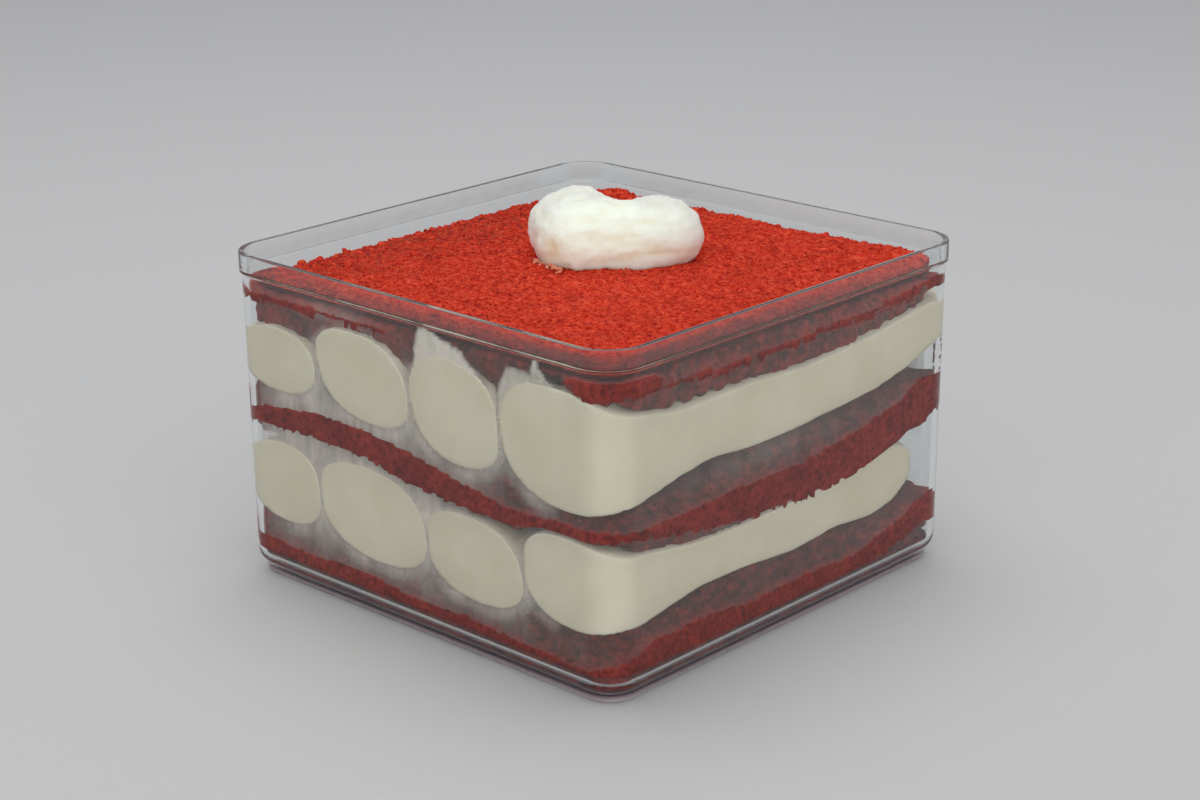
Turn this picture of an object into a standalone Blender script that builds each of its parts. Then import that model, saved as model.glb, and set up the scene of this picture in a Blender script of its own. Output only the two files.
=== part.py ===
"""Red velvet box cake: three sponge layers and two layers of piped cream in a clear square box.

Metres, +Z up, origin at the middle of the box's underside. The box's walls run along X and Y,
and the ropes of cream run along Y, so that their round ends press on the -Y wall.
"""
import math

import bmesh
import bpy

MM = 0.001

# Clear box
RIM_SIDE = 102.0
RIM_CORNER = 8.0
BOX_HEIGHT = 66.0
RIM_BAND = 4.1
WALL_SIDE_TOP = 101.0
WALL_SIDE_LOW = 100.4
WALL_THICK = 1.2
BASE_FILLET = 3.4
FOOT_SIDE = 97.0
FOOT_HEIGHT = 1.4
FLOOR_THICK = 1.4
CORNER_STEPS = 8
FILLET_STEPS = 4
EDGE_BEVEL = 0.3
FOOT_BEVEL = 0.4
STEP_SLOPE = 0.5

# Room between two touching foods, or between food and plastic
GAP = 0.3
INNER_HALF = WALL_SIDE_LOW / 2.0 - WALL_THICK
FOOD_HALF = INNER_HALF - GAP
FOOD_CORNER = RIM_CORNER - WALL_THICK - 1.0

# Sponge slabs: outer edges along X and -Y, far ends along +Y, and where the far end starts to curl up
SPONGE_HALF = FOOD_HALF - 0.3
SPONGE_LEFT = -47.6
LOW_SLAB_HALF = FOOD_HALF - 1.4
BOTTOM_FAR = 46.6
MIDDLE_FAR = 45.8
TOP_FAR = 45.0
CURL_START = 24.0
SLAB_COLUMNS = 31
SLAB_ROWS = 8
CORNER_ROWS = 3
SAG_RELIEF = 0.7

# Each slab's own level beside the ropes, rise of its curled far end, size and seed of its unevenness
BOTTOM_SLAB_TOP = (17.5, 5.5, 7.0, 2.0)
MIDDLE_SLAB_LOW = (25.8, 7.0, 6.0, 5.0)
MIDDLE_SLAB_TOP = (38.6, 7.0, 7.0, 7.0)
TOP_SLAB_LOW = (50.5, 4.5, 6.0, 9.0)

# How far each slab's side and the crumb bed's side swell out half way up
BOTTOM_SWELL = 1.1
MIDDLE_SWELL = 0.6
TOP_SWELL = 0.5
CRUMB_SWELL = 0.4

# Crumbs on top: where the bed lies, how rough it is and how it rounds off at its edge
CRUMB_BASE = 60.0
CRUMB_TOP = 62.3
CRUMB_LEFT = -46.2
CRUMB_FAR = 46.2
CRUMB_COLUMNS = 32
CRUMB_ROWS = 26
CRUMB_RELIEF = 0.35
CRUMB_SHOULDER = 3.0
SHOULDER_DROP = 0.16
SHOULDER_POWER = 1.6
LEFT_DROP = 0.9
# Lumps and dips of the crumbs: X, Y, radius and rise
CRUMB_SPOTS = (
    (-32.5, 40.5, 4.2, 2.4),
    (-22.0, 43.5, 4.0, -1.0),
    (38.0, 41.0, 9.0, 0.9),
)

# Heart of cream: the direction it faces, its middle, its height and how far it sits in the crumbs
HEART_TURN = math.radians(42.99)
HEART_X = 0.2
HEART_Y = 5.6
HEART_HEIGHT = 12.6
HEART_BASE = CRUMB_TOP + 0.7
HEART_SPOKES = 40
HEART_BLENDS = 8
CREASE_SIDE = 1.0
CREASE_WIDTH = 7.5
CREASE_DEPTH = 5.2
CREASE_POWER = 1.25
CREASE_START = -6.0
CREASE_RUN = 9.0
RIGHT_FALL = 0.017
RIGHT_FALL_END = 8.0
# Plan of the heart seen from above, before it is turned: middle and radius of the round lobes along its rim
HEART_LOBES = (
    (-7.5, 3.2, 9.8),
    (-7.8, -4.2, 8.2),
    (4.2, -3.8, 7.8),
    (8.6, -2.2, 8.5),
    (8.4, 2.8, 8.7),
)
# Up the heart's side: share of its outline and of its height
HEART_SIDE = (
    (0.88, 0.0),
    (0.95, 0.08),
    (1.00, 0.26),
    (0.99, 0.45),
    (0.94, 0.62),
    (0.83, 0.79),
    (0.65, 0.92),
    (0.40, 0.985),
    (0.16, 1.0),
)

# Ropes of cream: sides, how square their egg is, how much they swell into each other, waver along their run
ROPE_SIDES = 20
EGG_POWER = 0.86
ROPE_SWELL = 1.03
ROPE_WAVER = 0.35
WAVER_TURN = 0.19

# Each rope of the lower and upper cream: left edge, right edge, low and top at its -Y end, lean of its egg
LOWER_ROPES = (
    ("cream_lower_1", -47.6, -26.3, 12.9, 29.7, -0.05),
    ("cream_lower_2", -26.2, 3.2, 11.6, 30.5, -0.20),
    ("cream_lower_3", 3.4, 28.2, 11.1, 27.9, -0.20),
    ("cream_lower_4", 28.3, 51.5, 12.8, 30.2, -0.15),
)
UPPER_ROPES = (
    ("cream_upper_1", -47.5, -25.9, 39.7, 53.1, -0.05),
    ("cream_upper_2", -25.5, -0.5, 38.9, 56.8, -0.30),
    ("cream_upper_3", -0.2, 22.9, 36.6, 57.0, -0.15),
    ("cream_upper_4", 22.9, 51.5, 34.8, 57.6, -0.15),
)

# Along a rope, at each Y: share of its full size, shift of its top and shift of its low side
LOWER_RUN = (
    (-48.6, 0.95, 0.0, 0.0),
    (-48.0, 1.00, 0.0, 0.0),
    (-45.5, 1.01, 0.0, 0.0),
    (-41.0, 1.00, -0.8, 0.4),
    (-34.0, 0.98, -2.2, 1.6),
    (-26.0, 0.96, -3.2, 2.6),
    (-14.0, 0.97, -3.6, 2.4),
    (0.0, 0.97, -3.4, 1.4),
    (13.0, 0.98, -2.4, 2.2),
    (24.0, 0.98, -0.6, 1.2),
    (31.0, 0.94, 0.4, 2.0),
    (35.5, 0.80, 0.2, 3.2),
    (38.0, 0.58, -0.8, 4.2),
    (39.4, 0.28, -1.6, 5.0),
)
UPPER_RUN = (
    (-48.6, 0.95, 0.0, 0.0),
    (-48.0, 1.00, 0.0, 0.0),
    (-45.5, 1.01, 0.0, 0.0),
    (-40.0, 1.00, -1.4, 0.8),
    (-33.0, 0.98, -2.8, 2.0),
    (-24.0, 0.96, -3.2, 3.4),
    (-12.0, 0.97, -3.0, 2.6),
    (2.0, 0.97, -3.6, 2.6),
    (14.0, 0.97, -3.8, 3.8),
    (25.0, 0.98, -2.6, 4.4),
    (35.0, 0.98, -1.2, 6.4),
    (42.0, 0.94, -0.4, 8.6),
    (46.6, 0.88, -0.4, 9.6),
    (48.4, 0.66, -0.8, 10.2),
)


def material(name, colour, roughness, alpha=1.0):
    """A plain Principled material with one colour."""
    made = bpy.data.materials.new(name)
    made.use_nodes = True
    shader = made.node_tree.nodes["Principled BSDF"]
    shader.inputs["Base Color"].default_value = (*colour, 1.0)
    shader.inputs["Roughness"].default_value = roughness
    shader.inputs["Metallic"].default_value = 0.0
    shader.inputs["Alpha"].default_value = alpha
    made.diffuse_color = (*colour, alpha)
    return made


def add_object(name, points, faces, made):
    """One named object from points in millimetres and faces, with its faces turned outward."""
    mesh = bpy.data.meshes.new(name)
    mesh.from_pydata([tuple(c * MM for c in p) for p in points], [], faces)
    work = bmesh.new()
    work.from_mesh(mesh)
    bmesh.ops.recalc_face_normals(work, faces=work.faces)
    work.to_mesh(mesh)
    work.free()
    mesh.materials.append(made)
    piece = bpy.data.objects.new(name, mesh)
    bpy.context.scene.collection.objects.link(piece)
    return piece


def add_loft(name, rings, made):
    """A closed body through rings that all have the same number of points."""
    count = len(rings[0])
    points = [p for ring in rings for p in ring]
    faces = []
    for level in range(len(rings) - 1):
        low = level * count
        high = low + count
        for i in range(count):
            j = (i + 1) % count
            faces.append((low + i, low + j, high + j, high + i))
    faces.append(tuple(range(count)))
    faces.append(tuple(range(len(points) - count, len(points))))
    return add_object(name, points, faces, made)


def rounded_square(half, radius, z):
    """Points round a square with round corners, at height z."""
    ring = []
    for quarter in range(4):
        start = quarter * math.pi / 2.0
        side_x = math.copysign(1.0, math.cos(start + math.pi / 4.0))
        side_y = math.copysign(1.0, math.sin(start + math.pi / 4.0))
        for step in range(CORNER_STEPS + 1):
            angle = start + step * math.pi / 2.0 / CORNER_STEPS
            x = side_x * (half - radius) + radius * math.cos(angle)
            y = side_y * (half - radius) + radius * math.sin(angle)
            ring.append((x, y, z))
    return ring


def fillet(half, radius, z, size):
    """Half side, corner radius and height down a quarter round between a wall and a floor."""
    rows = []
    for step in range(FILLET_STEPS + 1):
        angle = step * math.pi / 2.0 / FILLET_STEPS
        inset = size * (1.0 - math.cos(angle))
        rows.append((half - inset, max(radius - inset, 1.5), z + size * (1.0 - math.sin(angle))))
    return rows


def make_box():
    """The clear box: stepped rim band, drafted walls, filleted base and a foot that steps in."""
    rim = RIM_SIDE / 2.0
    wall_top = WALL_SIDE_TOP / 2.0
    wall_low = WALL_SIDE_LOW / 2.0
    foot = FOOT_SIDE / 2.0
    step_z = BOX_HEIGHT - RIM_BAND
    foot_corner = RIM_CORNER - (rim - foot)
    wall_corner = RIM_CORNER - (rim - wall_top)
    rows = [(foot - FOOT_BEVEL, foot_corner - FOOT_BEVEL, 0.0), (foot, foot_corner, FOOT_BEVEL)]
    rows += [(foot, foot_corner, FOOT_HEIGHT)]
    outer = fillet(wall_low, wall_corner, FOOT_HEIGHT, BASE_FILLET)
    rows += [row for row in reversed(outer) if row[0] > foot + 0.1]
    rows += [(wall_top, wall_corner, step_z - STEP_SLOPE), (rim, RIM_CORNER, step_z)]
    rows += [(rim, RIM_CORNER, BOX_HEIGHT - EDGE_BEVEL)]
    rows += [(rim - EDGE_BEVEL, RIM_CORNER - EDGE_BEVEL, BOX_HEIGHT)]
    lip = RIM_CORNER - WALL_THICK
    inner_rim = rim - WALL_THICK
    rows += [(inner_rim + EDGE_BEVEL, lip + EDGE_BEVEL, BOX_HEIGHT)]
    rows += [(inner_rim, lip, BOX_HEIGHT - EDGE_BEVEL), (inner_rim, lip, step_z + EDGE_BEVEL)]
    inner_corner = wall_corner - WALL_THICK
    rows += [(wall_top - WALL_THICK, inner_corner, step_z - EDGE_BEVEL)]
    floor_step = FOOT_HEIGHT + FLOOR_THICK
    rows += fillet(wall_low - WALL_THICK, inner_corner, floor_step, BASE_FILLET - WALL_THICK)
    well = foot - WALL_THICK
    rows += [(well, foot_corner - 0.8, floor_step - 0.2)]
    rows += [(well - EDGE_BEVEL, foot_corner - 1.0, FLOOR_THICK)]
    plastic = material("clear plastic", (0.80, 0.84, 0.85), 0.05, 0.25)
    add_loft("box", [rounded_square(*row) for row in rows], plastic)


def reach(y, half=FOOD_HALF, radius=FOOD_CORNER):
    """How far along X food can go at this Y before it meets a wall or a round corner."""
    past = max(abs(y) - (half - radius), 0.0)
    past = min(past, radius)
    return half - radius + math.sqrt(radius * radius - past * past)


def rope_ring(rope, run, neighbours):
    """Points round one rope of cream at one station: an egg, cut off by its neighbours and the wall."""
    name, left, right, low, top, lean = rope
    y, share, top_shift, low_shift = run
    seed = sum(ord(letter) for letter in name)
    wave = ROPE_WAVER * math.sin(y * WAVER_TURN + seed)
    limit = reach(y)
    middle_x = (left + right) / 2.0
    half_x = (right - left) / 2.0 * ROPE_SWELL * share
    middle_z = (top + top_shift + low + low_shift) / 2.0
    half_z = (top + top_shift - low - low_shift) / 2.0 * share
    ring = []
    for side in range(ROPE_SIDES):
        angle = 2.0 * math.pi * side / ROPE_SIDES
        up = math.copysign(abs(math.sin(angle)) ** EGG_POWER, math.sin(angle))
        out = math.copysign(abs(math.cos(angle)) ** EGG_POWER, math.cos(angle))
        z = middle_z + half_z * up
        x = middle_x + half_x * out + lean * (z - middle_z) + wave
        x = max(x, neighbours[0] + GAP / 2.0 + lean * (z - middle_z) * 0.5)
        x = min(x, neighbours[1] - GAP / 2.0 + lean * (z - middle_z) * 0.5)
        ring.append((min(max(x, -limit), limit), y, z))
    return ring


def rope_rings(ropes, runs, index):
    """All rings of one rope, from the -Y wall to its far end."""
    left = (ropes[index - 1][2] + ropes[index][1]) / 2.0 if index else -INNER_HALF * 2.0
    right = (ropes[index][2] + ropes[index + 1][1]) / 2.0 if index + 1 < len(ropes) else INNER_HALF * 2.0
    return [rope_ring(ropes[index], run, (left, right)) for run in runs]


def make_ropes(ropes, runs):
    """The ropes of one cream layer, each its own body, and their rings for the sponge to lie on."""
    cream = material("cream " + ropes[0][0][6:11], (0.90, 0.88, 0.80), 0.5)
    layer = []
    for index, rope in enumerate(ropes):
        rings = rope_rings(ropes, runs, index)
        add_loft(rope[0], rings, cream)
        layer.append(rings)
    return layer


def edge_heights(a, b, x0, x1):
    """Heights where one edge of a ring enters and leaves a stretch of X."""
    run = b[0] - a[0]
    if abs(run) < 1e-6:
        return [a[2], b[2]]
    low = min(a[0], b[0])
    high = max(a[0], b[0])
    stops = [min(max(x, low), high) for x in (x0, x1)]
    return [a[2] + (b[2] - a[2]) * (x - a[0]) / run for x in stops]


def envelope(layer, x0, x1, y0, y1, top):
    """Highest or lowest point of a cream layer over a small patch in X and Y, or None where there is none."""
    best = None
    chooser = max if top else min
    for rings in layer:
        for one, two in zip(rings, rings[1:]):
            if two[0][1] < y0 or one[0][1] > y1:
                continue
            for ring in (one, two):
                for a, b in zip(ring, ring[1:] + ring[:1]):
                    if max(a[0], b[0]) < x0 or min(a[0], b[0]) > x1:
                        continue
                    pick = chooser(edge_heights(a, b, x0, x1))
                    best = pick if best is None else chooser(best, pick)
    return best


def bumps(x, y, size, seed):
    """Smooth made-up unevenness between about -1 and 1."""
    a = math.sin(x / size + seed) * math.cos(y / size * 1.3 - seed * 0.7)
    b = math.sin(x / size * 2.3 - y / size * 1.7 + seed * 1.9)
    c = math.cos(y / size * 3.1 + x / size * 0.9 + seed * 3.1)
    return 0.5 * a + 0.3 * b + 0.2 * c


def curl(y, rise):
    """How far a slab's far end curls up at this Y."""
    past = max(y - CURL_START, 0.0) / (FOOD_HALF - CURL_START)
    return rise * past * past


def slab_grid(y_far, columns, rows, half=SPONGE_HALF, left=SPONGE_LEFT):
    """X and Y of a slab's grid, inside a square with round corners that ends at y_far."""
    radius = FOOD_CORNER
    turns = [step * math.pi / 2.0 / CORNER_ROWS for step in range(CORNER_ROWS)]
    stations = [(-half + radius * (1.0 - math.cos(t)), radius * (1.0 - math.sin(t))) for t in turns]
    near = -half + radius
    far = y_far - radius
    stations += [(near + (far - near) * row / rows, 0.0) for row in range(rows + 1)]
    stations += [(far + radius * math.cos(t), radius * (1.0 - math.sin(t))) for t in reversed(turns)]
    grid = []
    for y, inset in stations:
        low_x = left + inset
        wide = half - inset - low_x
        grid.append([(low_x + wide * c / columns, y) for c in range(columns + 1)])
    return grid


def border(columns, rows):
    """Indices of a grid's outline, in order."""
    wide = columns + 1
    path = [c for c in range(wide)]
    path += [r * wide + columns for r in range(1, rows + 1)]
    path += [rows * wide + c for c in range(columns - 1, -1, -1)]
    path += [r * wide for r in range(rows - 1, 0, -1)]
    return path


def grid_faces(columns, rows, start):
    """Quads of a grid whose first point has index start."""
    wide = columns + 1
    faces = []
    for r in range(rows):
        for c in range(columns):
            i = start + r * wide + c
            faces.append((i, i + 1, i + wide + 1, i + wide))
    return faces


def add_slab(name, grid, low, high, made, swell):
    """A slab between two surfaces over a grid, with swelling sides. A flat surface is one face."""
    rows = len(grid) - 1
    columns = len(grid[0]) - 1
    flat = [(x, y) for row in grid for x, y in row]
    path = border(columns, rows)
    middle_x = sum(x for x, y in flat) / len(flat)
    middle_y = sum(y for x, y in flat) / len(flat)
    points = []
    faces = []
    edges = []
    for surface in (low, high):
        start = len(points)
        if callable(surface):
            points += [(x, y, surface(x, y)) for x, y in flat]
            faces += grid_faces(columns, rows, start)
            edges.append([start + i for i in path])
        else:
            points += [(*flat[i], surface) for i in path]
            ring = list(range(start, start + len(path)))
            faces.append(tuple(ring))
            edges.append(ring)
    waist = len(points)
    for i, (below, above) in enumerate(zip(*edges)):
        x, y = flat[path[i]]
        away = math.hypot(x - middle_x, y - middle_y)
        out = swell * (0.6 + 0.4 * bumps(x, y, 4.0, 1.0))
        z = (points[below][2] + points[above][2]) / 2.0
        limit = reach(y)
        wide = x + out * (x - middle_x) / away
        points.append((min(max(wide, -limit), limit), y + out * (y - middle_y) / away * 0.5, z))
    for i in range(len(path)):
        j = (i + 1) % len(path)
        faces.append((edges[0][i], edges[0][j], waist + j, waist + i))
        faces.append((waist + i, waist + j, edges[1][j], edges[1][i]))
    return add_object(name, points, faces, made)


def lies_on(layer, step_x, step_y, top, level):
    """A surface that follows a cream layer with a gap, and sags to its own level beside the ropes."""

    def surface(x, y):
        cream = envelope(layer, x - step_x, x + step_x, y - step_y, y + step_y, top)
        own = level(x, y)
        if cream is None:
            return own
        return max(own, cream + GAP) if top else min(own, cream - GAP)

    return surface


def sagging(level, rise, size, seed):
    """A slab's own level beside the ropes: uneven, with its far end curled up."""
    return lambda x, y: level + curl(y, rise) + SAG_RELIEF * bumps(x, y, size, seed)


def make_sponges(lower, upper):
    """Three slabs of red sponge that follow the ropes of cream under and over them."""
    step_x = (SPONGE_HALF - SPONGE_LEFT) / SLAB_COLUMNS
    step_y = 2.0 * SPONGE_HALF / SLAB_ROWS
    sponge = material("red sponge", (0.30, 0.035, 0.03), 0.85)

    top = lies_on(lower, step_x, step_y, False, sagging(*BOTTOM_SLAB_TOP))
    grid = slab_grid(BOTTOM_FAR, SLAB_COLUMNS, SLAB_ROWS, LOW_SLAB_HALF, -LOW_SLAB_HALF)
    add_slab("sponge_bottom", grid, FOOT_HEIGHT + FLOOR_THICK + GAP, top, sponge, BOTTOM_SWELL)

    low = lies_on(lower, step_x, step_y, True, sagging(*MIDDLE_SLAB_LOW))
    top = lies_on(upper, step_x, step_y, False, sagging(*MIDDLE_SLAB_TOP))
    grid = slab_grid(MIDDLE_FAR, SLAB_COLUMNS, SLAB_ROWS)
    add_slab("sponge_middle", grid, low, top, sponge, MIDDLE_SWELL)

    low = lies_on(upper, step_x, step_y, True, sagging(*TOP_SLAB_LOW))
    grid = slab_grid(TOP_FAR, SLAB_COLUMNS, SLAB_ROWS)
    add_slab("sponge_top", grid, low, CRUMB_BASE - GAP, sponge, TOP_SWELL)


def crumb_height(x, y):
    """Height of the crumbed top: nearly level, rough, rounded at its edge, with a lump and a dip behind."""
    room = min(x - CRUMB_LEFT, SPONGE_HALF - x, y + SPONGE_HALF, CRUMB_FAR - y)
    edge = max(CRUMB_SHOULDER - room, 0.0)
    height = CRUMB_TOP - SHOULDER_DROP * edge ** SHOULDER_POWER
    height -= LEFT_DROP * min(max(-x - 10.0, 0.0) / 30.0, 1.0)
    for spot_x, spot_y, radius, rise in CRUMB_SPOTS:
        height += rise * math.exp(-((x - spot_x) ** 2 + (y - spot_y) ** 2) / radius ** 2)
    return height + CRUMB_RELIEF * (bumps(x, y, 3.2, 4.0) + 0.7 * bumps(x, y, 1.4, 8.0))


def make_crumbs():
    """The bed of red crumbs that covers the top sponge, one rough body."""
    crumbs = material("red crumbs", (0.55, 0.06, 0.03), 0.9)
    grid = slab_grid(CRUMB_FAR, CRUMB_COLUMNS, CRUMB_ROWS, SPONGE_HALF - 0.2, CRUMB_LEFT)
    add_slab("crumb_layer", grid, CRUMB_BASE, crumb_height, crumbs, CRUMB_SWELL)


def heart_radius(angle):
    """Distance from the heart's middle to its outline in one direction."""
    best = 0.0
    for one, two in zip(HEART_LOBES, HEART_LOBES[1:]):
        for blend in range(HEART_BLENDS + 1):
            share = blend / HEART_BLENDS
            x, y, radius = (a + (b - a) * share for a, b in zip(one, two))
            along = x * math.cos(angle) + y * math.sin(angle)
            across = -x * math.sin(angle) + y * math.cos(angle)
            if abs(across) < radius:
                best = max(best, along + math.sqrt(radius * radius - across * across))
    return best


def heart_crease(u, v):
    """How far the groove between the two back lobes sinks the top: deepest behind, gone in front."""
    across = max(1.0 - abs(u - CREASE_SIDE) / CREASE_WIDTH, 0.0) ** CREASE_POWER
    return CREASE_DEPTH * across * min(max((v - CREASE_START) / CREASE_RUN, 0.0), 1.0)


def make_heart():
    """The heart of cream on top: two round lobes behind, a blunt front, lower on its right."""
    cream = material("cream heart", (0.93, 0.92, 0.87), 0.45)
    rings = []
    for share, height in HEART_SIDE:
        ring = []
        for spoke in range(HEART_SPOKES):
            angle = 2.0 * math.pi * spoke / HEART_SPOKES
            out = share * heart_radius(angle)
            u = out * math.cos(angle)
            v = out * math.sin(angle)
            lower_right = 1.0 - RIGHT_FALL * min(max(u, 0.0), RIGHT_FALL_END)
            z = HEART_BASE + HEART_HEIGHT * height * lower_right
            z -= heart_crease(u, v) * height
            x = HEART_X + u * math.cos(HEART_TURN) - v * math.sin(HEART_TURN)
            y = HEART_Y + u * math.sin(HEART_TURN) + v * math.cos(HEART_TURN)
            ring.append((x, y, z))
        rings.append(ring)
    add_loft("cream_heart", rings, cream)


def clear_scene():
    """Remove what the start-up file holds."""
    for old in list(bpy.data.objects):
        bpy.data.objects.remove(old)


clear_scene()
make_box()
lower_layer = make_ropes(LOWER_ROPES, LOWER_RUN)
upper_layer = make_ropes(UPPER_ROPES, UPPER_RUN)
make_sponges(lower_layer, upper_layer)
make_crumbs()
make_heart()
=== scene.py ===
import math

import bmesh
import bpy
import numpy as np
from mathutils import Matrix, Vector, noise
from mathutils.kdtree import KDTree


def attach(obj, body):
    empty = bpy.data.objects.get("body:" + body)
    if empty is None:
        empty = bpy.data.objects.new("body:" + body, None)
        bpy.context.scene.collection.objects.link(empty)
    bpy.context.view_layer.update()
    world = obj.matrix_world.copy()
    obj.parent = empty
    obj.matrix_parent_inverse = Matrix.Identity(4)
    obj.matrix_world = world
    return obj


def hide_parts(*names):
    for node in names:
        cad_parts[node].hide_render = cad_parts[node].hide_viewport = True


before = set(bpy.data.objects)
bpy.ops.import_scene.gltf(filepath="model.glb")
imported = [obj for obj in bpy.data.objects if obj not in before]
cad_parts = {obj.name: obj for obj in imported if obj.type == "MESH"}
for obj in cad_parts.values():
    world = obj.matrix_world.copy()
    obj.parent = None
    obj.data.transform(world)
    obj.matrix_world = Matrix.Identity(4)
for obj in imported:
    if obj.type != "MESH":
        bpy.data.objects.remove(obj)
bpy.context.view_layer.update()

# Clear box
# The real box is moulded in one shot from clear polystyrene: a stepped rim band that a lid slips over,
# drafted walls about 1.2 mm thick, a filleted base and a shallow foot that steps in under it.
MM = 0.001
RIM_HALF = 51.0
BOX_TOP = 66.0
RIM_STEP = 61.9
WALL_TOP_HALF = 50.5
WALL_LOW_HALF = 50.2
WALL = 1.2
FOOT_HALF = 48.5
FOOT = 1.4
FLOOR = 1.4
BASE_ROUND = 3.4
CORNER_PARTS = 16


def corner_of(half):
    """Corner radius of the box where its half side is this wide."""
    return max(8.0 - (RIM_HALF - half), 1.6)


def box_ring(bm, half, z):
    """A loop of the box: a circle drawn out into a square with round corners."""
    count = 4 * (CORNER_PARTS + 1)
    made = bmesh.ops.create_circle(bm, segments=count, radius=1.0)["verts"]
    corner = corner_of(half)
    for index, vert in enumerate(made):
        quarter, step = divmod(index, CORNER_PARTS + 1)
        angle = (quarter + step / CORNER_PARTS) * math.pi / 2.0
        middle = (quarter + 0.5) * math.pi / 2.0
        x = math.copysign(half - corner, math.cos(middle)) + corner * math.cos(angle)
        y = math.copysign(half - corner, math.sin(middle)) + corner * math.sin(angle)
        vert.co = (x * MM, y * MM, z * MM)
    return [edge for edge in bm.edges if edge.verts[0] in made and edge.verts[1] in made]


def round_down(half, z, size, parts):
    """Half side and height down a quarter round from a wall to a floor."""
    rows = []
    for step in range(parts + 1):
        angle = step * math.pi / 2.0 / parts
        rows.append((half - size * (1.0 - math.cos(angle)), z + size * (1.0 - math.sin(angle))))
    return rows


def bridge_rings(bm, rings):
    """Faces between each loop of the box and the next."""
    for first, second in zip(rings, rings[1:]):
        bmesh.ops.bridge_loops(bm, edges=first + second)


def new_piece(name, bm, node, material, smooth=True):
    """An object from a bmesh that rides the cake, stands for a CAD node and takes a material slot."""
    mesh = bpy.data.meshes.new(name)
    bm.to_mesh(mesh)
    bm.free()
    return finish_piece(name, mesh, node, material, smooth)


def finish_piece(name, mesh, node, material, smooth=True):
    piece = bpy.data.objects.new(name, mesh)
    bpy.context.scene.collection.objects.link(piece)
    mesh.materials.clear()
    mesh.materials.append(material)
    mesh.polygons.foreach_set("use_smooth", [smooth] * len(mesh.polygons))
    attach(piece, "root")
    if node:
        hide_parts(node)
    return piece


def shader_tree(name):
    """A new material, its node tree and its Principled shader."""
    made = bpy.data.materials.new(name)
    made.use_nodes = True
    tree = made.node_tree
    shader = tree.nodes["Principled BSDF"]
    return made, tree, shader


def coordinates(tree):
    """The Object coordinates that every pattern here reads."""
    return tree.nodes.new("ShaderNodeTexCoord").outputs["Object"]


def noise_node(tree, where, scale, detail=4.0, roughness=0.55):
    """A noise texture in cycles per metre on Object coordinates."""
    node = tree.nodes.new("ShaderNodeTexNoise")
    node.inputs["Scale"].default_value = scale
    node.inputs["Detail"].default_value = detail
    node.inputs["Roughness"].default_value = roughness
    tree.links.new(where, node.inputs["Vector"])
    return node.outputs["Fac"]


def ramp(tree, value, stops):
    """A colour ramp through (place, colour) stops."""
    node = tree.nodes.new("ShaderNodeValToRGB")
    band = node.color_ramp
    while len(band.elements) < len(stops):
        band.elements.new(0.5)
    for element, (place, colour) in zip(band.elements, stops):
        element.position = place
        element.color = (*colour, 1.0)
    tree.links.new(value, node.inputs["Fac"])
    return node.outputs["Color"]


def bump(tree, shader, height, strength, distance):
    """Fine relief on a shader."""
    node = tree.nodes.new("ShaderNodeBump")
    node.inputs["Strength"].default_value = strength
    node.inputs["Distance"].default_value = distance
    tree.links.new(height, node.inputs["Height"])
    tree.links.new(node.outputs["Normal"], shader.inputs["Normal"])


def clear_plastic():
    """Clear glossy plastic that lets lamplight through to the cake."""
    made, tree, shader = shader_tree("clear_polystyrene")
    shader.inputs["Base Color"].default_value = (0.93, 0.95, 0.955, 1.0)
    shader.inputs["Roughness"].default_value = 0.03
    shader.inputs["IOR"].default_value = 1.45
    shader.inputs["Transmission Weight"].default_value = 1.0
    clear = tree.nodes.new("ShaderNodeBsdfTransparent")
    clear.inputs["Color"].default_value = (0.90, 0.915, 0.92, 1.0)
    path = tree.nodes.new("ShaderNodeLightPath")
    mix = tree.nodes.new("ShaderNodeMixShader")
    tree.links.new(path.outputs["Is Shadow Ray"], mix.inputs[0])
    tree.links.new(shader.outputs[0], mix.inputs[1])
    tree.links.new(clear.outputs[0], mix.inputs[2])
    tree.links.new(mix.outputs[0], tree.nodes["Material Output"].inputs["Surface"])
    return made


# The box's outline, as half side and height: up the outside from the foot, over the rim and down inside
EDGE = 0.35
SOFT = 0.1
outline = [(FOOT_HALF - EDGE, 0.0), (FOOT_HALF - SOFT, SOFT), (FOOT_HALF, EDGE), (FOOT_HALF, FOOT - SOFT)]
base_round = reversed(round_down(WALL_LOW_HALF, FOOT, BASE_ROUND, 8))
outline += [row for row in base_round if row[0] > FOOT_HALF + SOFT]
outline += [(WALL_TOP_HALF, RIM_STEP - 0.5), (WALL_TOP_HALF + 0.15, RIM_STEP - 0.12)]
outline += [(RIM_HALF - 0.08, RIM_STEP), (RIM_HALF, RIM_STEP + 0.12)]
outline += [(RIM_HALF, BOX_TOP - EDGE), (RIM_HALF - SOFT, BOX_TOP - SOFT), (RIM_HALF - EDGE, BOX_TOP)]
outline += [(RIM_HALF - WALL + EDGE, BOX_TOP), (RIM_HALF - WALL + SOFT, BOX_TOP - SOFT)]
outline += [(RIM_HALF - WALL, BOX_TOP - EDGE), (RIM_HALF - WALL, RIM_STEP + 0.5)]
outline += [(WALL_TOP_HALF - WALL + SOFT, RIM_STEP + 0.05), (WALL_TOP_HALF - WALL, RIM_STEP - 0.3)]
outline += round_down(WALL_LOW_HALF - WALL, FOOT + FLOOR, BASE_ROUND - WALL, 6)
outline += [(FOOT_HALF - WALL, FOOT + FLOOR - 0.15), (FOOT_HALF - WALL - 0.25, FLOOR + 0.15)]
outline += [(FOOT_HALF - WALL - 0.5, FLOOR)]
box_bm = bmesh.new()
loops = [box_ring(box_bm, half, z) for half, z in outline]
bridge_rings(box_bm, loops)
bmesh.ops.edgeloop_fill(box_bm, edges=loops[0])
bmesh.ops.edgeloop_fill(box_bm, edges=loops[-1])
bmesh.ops.recalc_face_normals(box_bm, faces=box_bm.faces)
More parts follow.
